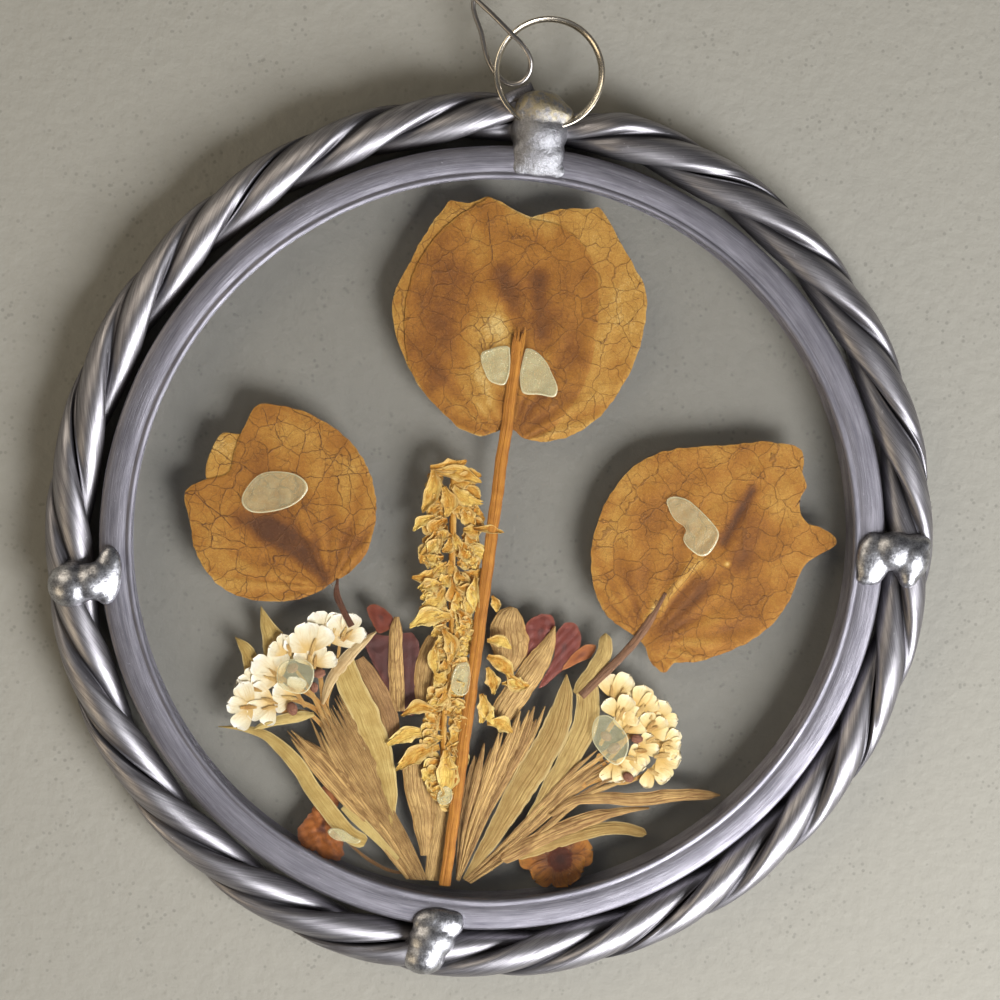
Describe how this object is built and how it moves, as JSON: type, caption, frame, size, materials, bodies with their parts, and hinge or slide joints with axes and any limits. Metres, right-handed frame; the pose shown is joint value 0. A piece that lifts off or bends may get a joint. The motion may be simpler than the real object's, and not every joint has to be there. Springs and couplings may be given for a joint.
{
  "type": "pressed flower frame",
  "caption": "Round hanging frame with pressed husks, leaves and flowers sealed between two glass discs in a lead rim with a twisted lead border",
  "frame": {"origin": "on the resting plane, under the middle of the box of the whole object with its wire hanger", "axes": "+Z is the way the front glass faces, up as it lies on its back; +Y runs from the glass to the hanging ring; +X is to the right seen from the front"},
  "size_m": [0.1182, 0.1446, 0.0085],
  "materials": {
    "glass": "clear window glass, polished",
    "came_lead": "drawn lead, dull violet-grey with fine lengthwise lines and scratches",
    "rope_lead": "drawn lead strip, twisted, satin with brushed lines along the strands",
    "solder": "tin-lead solder, bright and slightly frosted",
    "nickel_wire": "nickel-plated wire, bright",
    "steel_wire": "plain steel wire, satin",
    "husk": "dry papery husk, matte, with a net of brown veins",
    "straw": "dry straw, satin, split along its length",
    "floret": "dry golden florets, matte",
    "cream_petal": "dry cream petals, matte, with brown centres",
    "blade": "dry tan blades, matte, striped along their length",
    "olive_leaf": "dry yellow-olive leaves, matte, finely ribbed",
    "burgundy_petal": "dry dark red petals, matte",
    "russet_petal": "dry brown petals, matte, with darker veins",
    "glue": "dried clear glue, slightly milky"
  },
  "bodies": {
    "root": {"back_glass": "glass", "front_glass": "glass", "rim_came": "came_lead", "twisted_border": "rope_lead", "solder_joint_top": "solder", "solder_joint_left": "solder", "solder_joint_right": "solder", "solder_joint_bottom": "solder", "hanging_ring": "nickel_wire", "wire_hanger": "steel_wire", "husk_top": "husk", "husk_left": "husk", "husk_right": "husk", "straw_stem": "straw", "flower_spike": "floret", "white_cluster_left": "cream_petal", "white_cluster_right": "cream_petal", "burgundy_petal_left_outer": "burgundy_petal", "burgundy_petal_left_inner": "burgundy_petal", "burgundy_petal_right_inner": "burgundy_petal", "burgundy_petal_right_outer": "burgundy_petal", "russet_petal": "russet_petal", "small_flower_right": "russet_petal", "small_flower_left": "russet_petal", "thin_stem": "russet_petal", "striped_petal_left": "blade", "striped_petal_right": "blade", "upright_blade": "blade", "brown_blade_left": "blade", "pointed_petal": "blade", "centre_blades": "blade", "left_sheaf_outer": "blade", "left_sheaf_inner": "blade", "light_blade_left": "blade", "right_sheaf_inner": "blade", "right_sheaf_outer": "blade", "leaf_tip_left_upper": "olive_leaf", "leaf_tip_left_lower": "olive_leaf", "yellow_leaf_left": "olive_leaf", "grass_blade_left": "olive_leaf", "olive_leaf_back": "olive_leaf", "olive_leaf_front": "olive_leaf", "olive_tip_right": "olive_leaf", "grass_blade_right": "olive_leaf", "grass_blade_right_middle": "olive_leaf", "grass_blade_right_lower": "olive_leaf", "glue_patch_top_left": "glue", "glue_patch_top_right": "glue", "glue_patch_husk_left": "glue", "glue_patch_husk_right": "glue", "glue_patch_cluster_left": "glue", "glue_patch_cluster_right": "glue", "glue_patch_spike_upper": "glue", "glue_patch_spike_lower": "glue", "glue_patch_bottom_left": "glue"}
  },
  "joints": []
}
